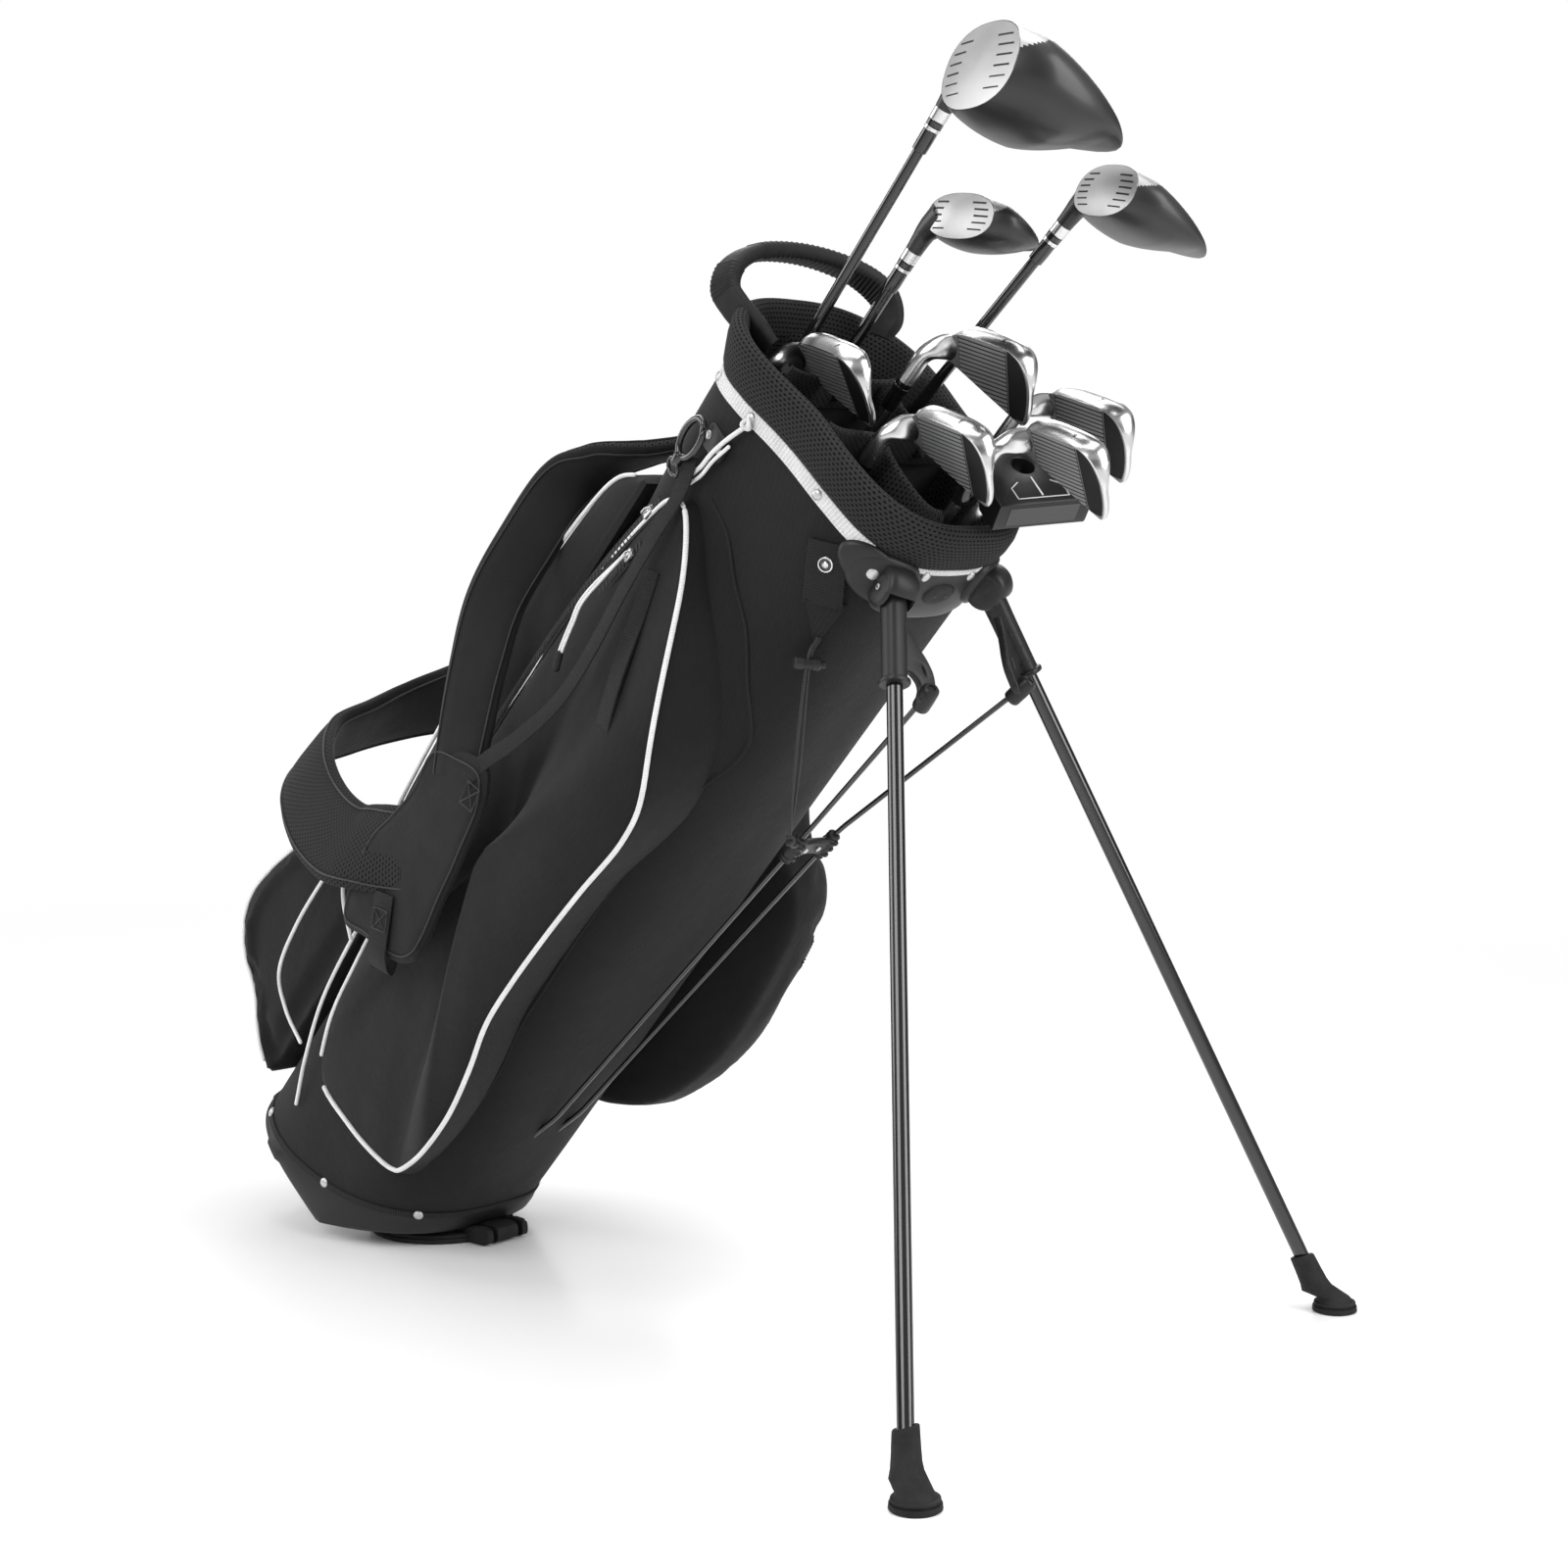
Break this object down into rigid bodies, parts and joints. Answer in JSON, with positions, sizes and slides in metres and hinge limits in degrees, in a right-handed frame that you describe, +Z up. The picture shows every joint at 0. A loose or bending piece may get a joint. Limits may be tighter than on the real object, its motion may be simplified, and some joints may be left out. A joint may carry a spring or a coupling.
{
  "type": "golf club set",
  "caption": "Golf stand bag on open legs with woods, irons and a mallet putter, black with white trim.",
  "frame": {"origin": "on the ground, under the middle of the foot plate", "axes": "+Z up, +X towards the legs, the bag leans 41 degrees from +Z towards +X"},
  "size_m": [0.9703, 0.5962, 0.9691],
  "materials": {
    "fabric": "matt woven",
    "padding": "matt mesh",
    "plastic": "satin moulded",
    "rubber": "matt",
    "tubing": "gloss",
    "steel": "polished",
    "chrome": "mirror",
    "lacquer": "gloss"
  },
  "bodies": {
    "bag": {"bag_tube": "fabric", "base_cup": "plastic", "foot_hinge_pin": "steel", "top_collar": "padding", "top_divider": "padding", "lift_handle": "rubber", "near_pocket": "fabric", "far_pocket": "fabric", "ball_pocket": "fabric", "upper_pocket": "fabric", "shoulder_strap_near": "padding", "shoulder_strap_far": "padding", "leg_yoke": "plastic", "yoke_badge": "plastic", "leg_pin_near": "steel", "leg_pin_far": "steel"},
    "near_leg": {"leg_tube_near": "tubing", "leg_sleeve_near": "plastic", "leg_foot_near": "rubber"},
    "far_leg": {"leg_tube_far": "tubing", "leg_sleeve_far": "plastic", "leg_foot_far": "rubber"},
    "foot_plate": {"foot_plate": "rubber"},
    "stand_wire": {"stand_wire": "tubing", "wire_clip": "plastic"},
    "driver": {"driver_grip": "rubber", "driver_shaft": "lacquer", "driver_ferrule": "lacquer", "driver_head": "lacquer"},
    "hybrid": {"hybrid_grip": "rubber", "hybrid_shaft": "lacquer", "hybrid_ferrule": "lacquer", "hybrid_head": "lacquer"},
    "fairway_wood": {"fairway_wood_grip": "rubber", "fairway_wood_shaft": "lacquer", "fairway_wood_ferrule": "lacquer", "fairway_wood_head": "lacquer"},
    "iron_pitch": {"iron_pitch_grip": "rubber", "iron_pitch_shaft": "steel", "iron_pitch_ferrule": "lacquer", "iron_pitch_head": "chrome"},
    "iron_6": {"iron_6_grip": "rubber", "iron_6_shaft": "steel", "iron_6_ferrule": "lacquer", "iron_6_head": "chrome"},
    "iron_7": {"iron_7_grip": "rubber", "iron_7_shaft": "steel", "iron_7_ferrule": "lacquer", "iron_7_head": "chrome"},
    "iron_8": {"iron_8_grip": "rubber", "iron_8_shaft": "steel", "iron_8_ferrule": "lacquer", "iron_8_head": "chrome"},
    "iron_9": {"iron_9_grip": "rubber", "iron_9_shaft": "steel", "iron_9_ferrule": "lacquer", "iron_9_head": "chrome"},
    "putter": {"putter_grip": "rubber", "putter_shaft": "steel", "putter_head": "lacquer"}
  },
  "joints": [
    {"name": "near_leg_fold", "type": "hinge", "parent": "bag", "child": "near_leg", "pos_m": [0.55077, -0.0595, 0.57854], "axis": [0.2964, 0.9197, -0.2576], "range_deg": [0, 60.5]},
    {"name": "far_leg_fold", "type": "hinge", "parent": "bag", "child": "far_leg", "pos_m": [0.55077, 0.0595, 0.57854], "axis": [-0.2964, 0.9197, 0.2576], "range_deg": [0, 60.5]},
    {"name": "foot_plate_hinge", "type": "hinge", "parent": "bag", "child": "foot_plate", "pos_m": [0.014, 0, 0.019], "axis": [0, 1, 0], "range_deg": [0, 41]},
    {"name": "wire_hinge", "type": "hinge", "parent": "foot_plate", "child": "stand_wire", "pos_m": [0.0775, 0, 0.0113], "axis": [0, 1, 0], "range_deg": [-46, 0]},
    {"name": "driver_lift", "type": "slide", "parent": "bag", "child": "driver", "axis": [0.6172, 0.0103, 0.7867], "range_m": [0, 0.85]},
    {"name": "hybrid_lift", "type": "slide", "parent": "bag", "child": "hybrid", "axis": [0.6421, 0.0137, 0.7665], "range_m": [0, 0.03]},
    {"name": "fairway_wood_lift", "type": "slide", "parent": "bag", "child": "fairway_wood", "axis": [0.7041, 0.0388, 0.709], "range_m": [0, 0.85]},
    {"name": "iron_pitch_lift", "type": "slide", "parent": "bag", "child": "iron_pitch", "axis": [0.6474, 0.0069, 0.7622], "range_m": [0, 0.15]},
    {"name": "iron_6_lift", "type": "slide", "parent": "bag", "child": "iron_6", "axis": [0.6595, 0.0115, 0.7516], "range_m": [0, 0.06]},
    {"name": "iron_7_lift", "type": "slide", "parent": "bag", "child": "iron_7", "axis": [0.6597, 0.0072, 0.7515], "range_m": [0, 0.12]},
    {"name": "iron_8_lift", "type": "slide", "parent": "bag", "child": "iron_8", "axis": [0.657, -0.0012, 0.7539], "range_m": [0, 0.85]},
    {"name": "iron_9_lift", "type": "slide", "parent": "bag", "child": "iron_9", "axis": [0.6678, 0.0036, 0.7443], "range_m": [0, 0.5]},
    {"name": "putter_lift", "type": "slide", "parent": "bag", "child": "putter", "axis": [0.673, -0.0241, 0.7393], "range_m": [0, 0.015]}
  ],
  "couplings": [
    {"joint": "far_leg_fold", "follows": "near_leg_fold", "ratio": 1},
    {"joint": "foot_plate_hinge", "follows": "near_leg_fold", "ratio": 0.67768},
    {"joint": "wire_hinge", "follows": "near_leg_fold", "ratio": -0.76033}
  ]
}
